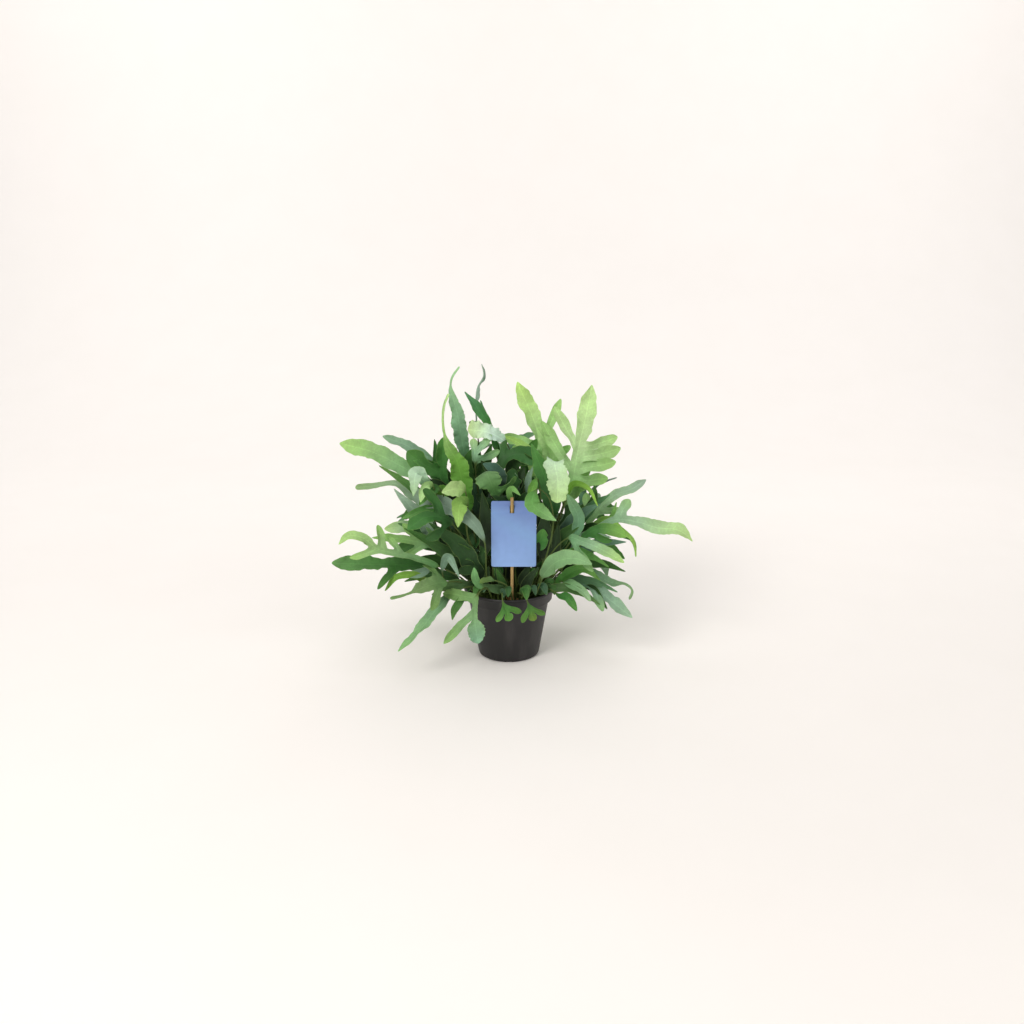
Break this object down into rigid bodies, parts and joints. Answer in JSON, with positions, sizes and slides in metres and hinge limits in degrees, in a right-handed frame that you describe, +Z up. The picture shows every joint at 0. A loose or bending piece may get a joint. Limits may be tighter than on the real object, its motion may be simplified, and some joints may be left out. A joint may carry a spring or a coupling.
{
  "type": "potted blue star fern",
  "caption": "Potted fern with wavy strap-like and finger-lobed blue-green fronds rising from soil in a black nursery pot, with a plain plant card on a bamboo stick.",
  "frame": {"origin": "middle of the pot's resting face, at the height of the surface it stands on", "axes": "+Z up; -Y is the front, where the card faces; +X to the right seen from the front"},
  "size_m": [0.5342, 0.3544, 0.4491],
  "materials": {
    "pot_black": "moulded polypropylene, satin black",
    "soil_peat": "dark, crumbly peat and bark",
    "stick_bamboo": "split bamboo, pale and fibrous",
    "card_blue": "printed plastic card, blue fading downwards, satin",
    "frond_mint": "leathery, pale mint underside, matte",
    "frond_blue_green": "leathery, waxy grey blue-green, satin",
    "frond_deep_green": "leathery, deep green, satin",
    "frond_fresh_green": "leathery, fresh yellow-green, satin"
  },
  "bodies": {
    "root": {"pot": "pot_black", "soil": "soil_peat", "label_stick": "stick_bamboo", "label_card": "card_blue", "frond_crown_right": "frond_fresh_green", "frond_crown_back": "frond_fresh_green", "frond_crown_dark": "frond_deep_green", "frond_upright_dark": "frond_deep_green", "frond_small_crown": "frond_mint", "frond_crown_lean": "frond_deep_green", "frond_crown_pale": "frond_mint", "frond_crown_strap": "frond_blue_green", "frond_crown_edge": "frond_blue_green", "frond_high_left": "frond_blue_green", "frond_high_left_upper": "frond_blue_green", "frond_left_dark": "frond_deep_green", "frond_left_bright": "frond_fresh_green", "frond_front_crinkled": "frond_mint", "frond_right_upper": "frond_blue_green", "frond_right_long": "frond_blue_green", "frond_right_dark": "frond_deep_green", "frond_right_drooping": "frond_blue_green", "frond_over_card": "frond_fresh_green", "frond_right_striped": "frond_blue_green", "frond_card_top": "frond_deep_green", "frond_front_grey": "frond_mint", "frond_left_shadow": "frond_deep_green", "frond_left_pale": "frond_mint", "frond_left_thin": "frond_blue_green", "frond_left_lobed": "frond_fresh_green", "frond_low_left_dark": "frond_deep_green", "frond_low_left_olive": "frond_fresh_green", "frond_low_left_hanging": "frond_blue_green", "frond_front_star": "frond_blue_green", "frond_front_small_left": "frond_fresh_green", "frond_front_small_right": "frond_fresh_green", "frond_front_olive": "frond_fresh_green", "frond_front_young": "frond_deep_green", "frond_low_right_small": "frond_deep_green", "frond_low_right_front": "frond_fresh_green", "frond_low_right_long": "frond_blue_green", "frond_low_right_tail": "frond_blue_green", "frond_right_grey": "frond_mint", "frond_inner_left": "frond_deep_green", "frond_inner_left_low": "frond_deep_green", "frond_inner_front_left": "frond_deep_green", "frond_inner_right": "frond_deep_green", "frond_inner_right_low": "frond_deep_green", "frond_inner_crown": "frond_deep_green", "frond_far_right": "frond_blue_green", "frond_far_mid_right": "frond_fresh_green", "frond_far_middle": "frond_blue_green", "frond_far_mid_left": "frond_deep_green", "frond_far_left": "frond_blue_green", "frond_far_low_right": "frond_deep_green", "frond_far_low_back_right": "frond_mint", "frond_far_low_back_left": "frond_fresh_green", "frond_far_low_left": "frond_blue_green", "tuft_middle": "frond_deep_green", "tuft_back": "frond_deep_green"}
  },
  "joints": []
}
